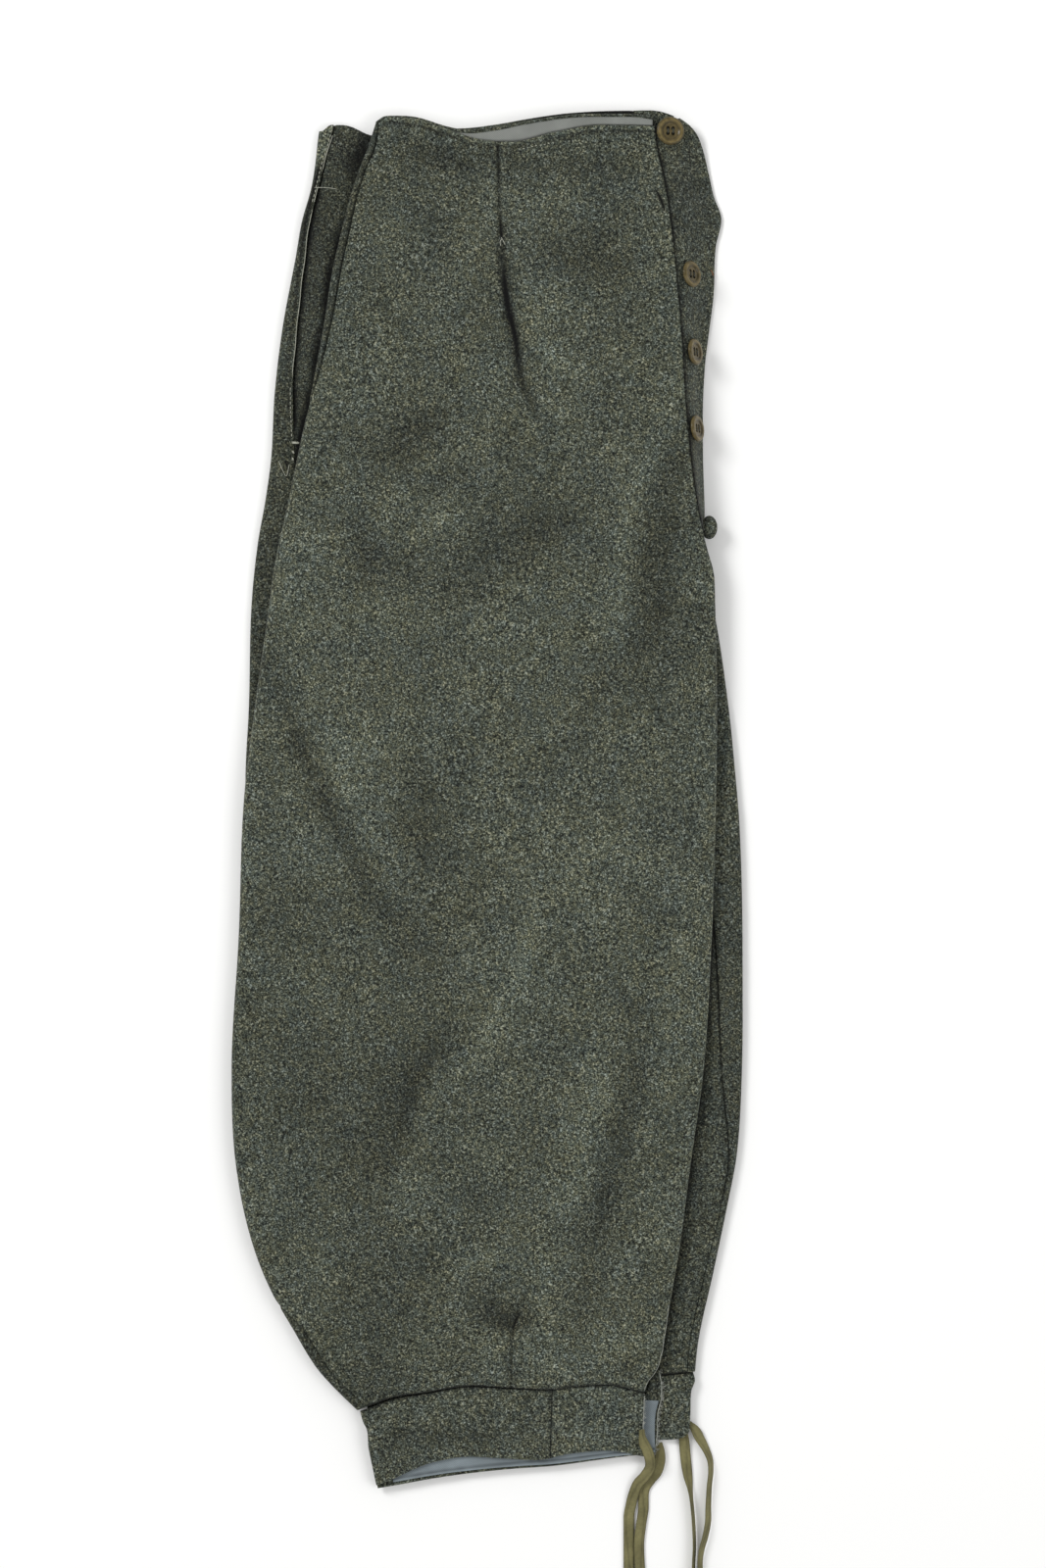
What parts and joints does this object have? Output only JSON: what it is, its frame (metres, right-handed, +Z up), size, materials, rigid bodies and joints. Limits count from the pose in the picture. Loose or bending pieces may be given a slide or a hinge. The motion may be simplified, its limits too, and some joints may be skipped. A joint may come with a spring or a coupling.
{
  "type": "military uniform",
  "caption": "Felted wool field trousers with button fly, banded cuffs and tie tapes, folded lengthwise and laid flat.",
  "frame": {"origin": "on the surface the garment lies on, below the middle of its outline without the tapes", "axes": "+Y along the legs towards the waist, +X across the folded garment towards the fly, +Z up from the surface"},
  "size_m": [0.3639, 1.0703, 0.0295],
  "materials": {
    "wool": "felted field-grey wool",
    "grey_twill": "grey twill lining",
    "blue_twill": "grey-blue twill lining",
    "tape": "khaki twill tape",
    "button": "brown pressed button"
  },
  "bodies": {
    "root": {"left_front": "wool", "left_back": "wool", "right_back": "wool", "right_front": "wool", "button_stand": "wool", "left_fly": "wool", "fly_end": "wool", "waist_lining": "grey_twill", "right_cuff_band": "wool", "right_cuff_tab": "wool", "right_cuff_back": "wool", "right_cuff_lining": "blue_twill", "left_cuff_back": "wool", "left_cuff_front": "wool", "waist_button": "button", "fly_button_1": "button", "fly_button_2": "button", "fly_button_3": "button", "tape_1": "tape", "tape_2": "tape", "tape_3": "tape", "tape_4": "tape"}
  },
  "joints": []
}
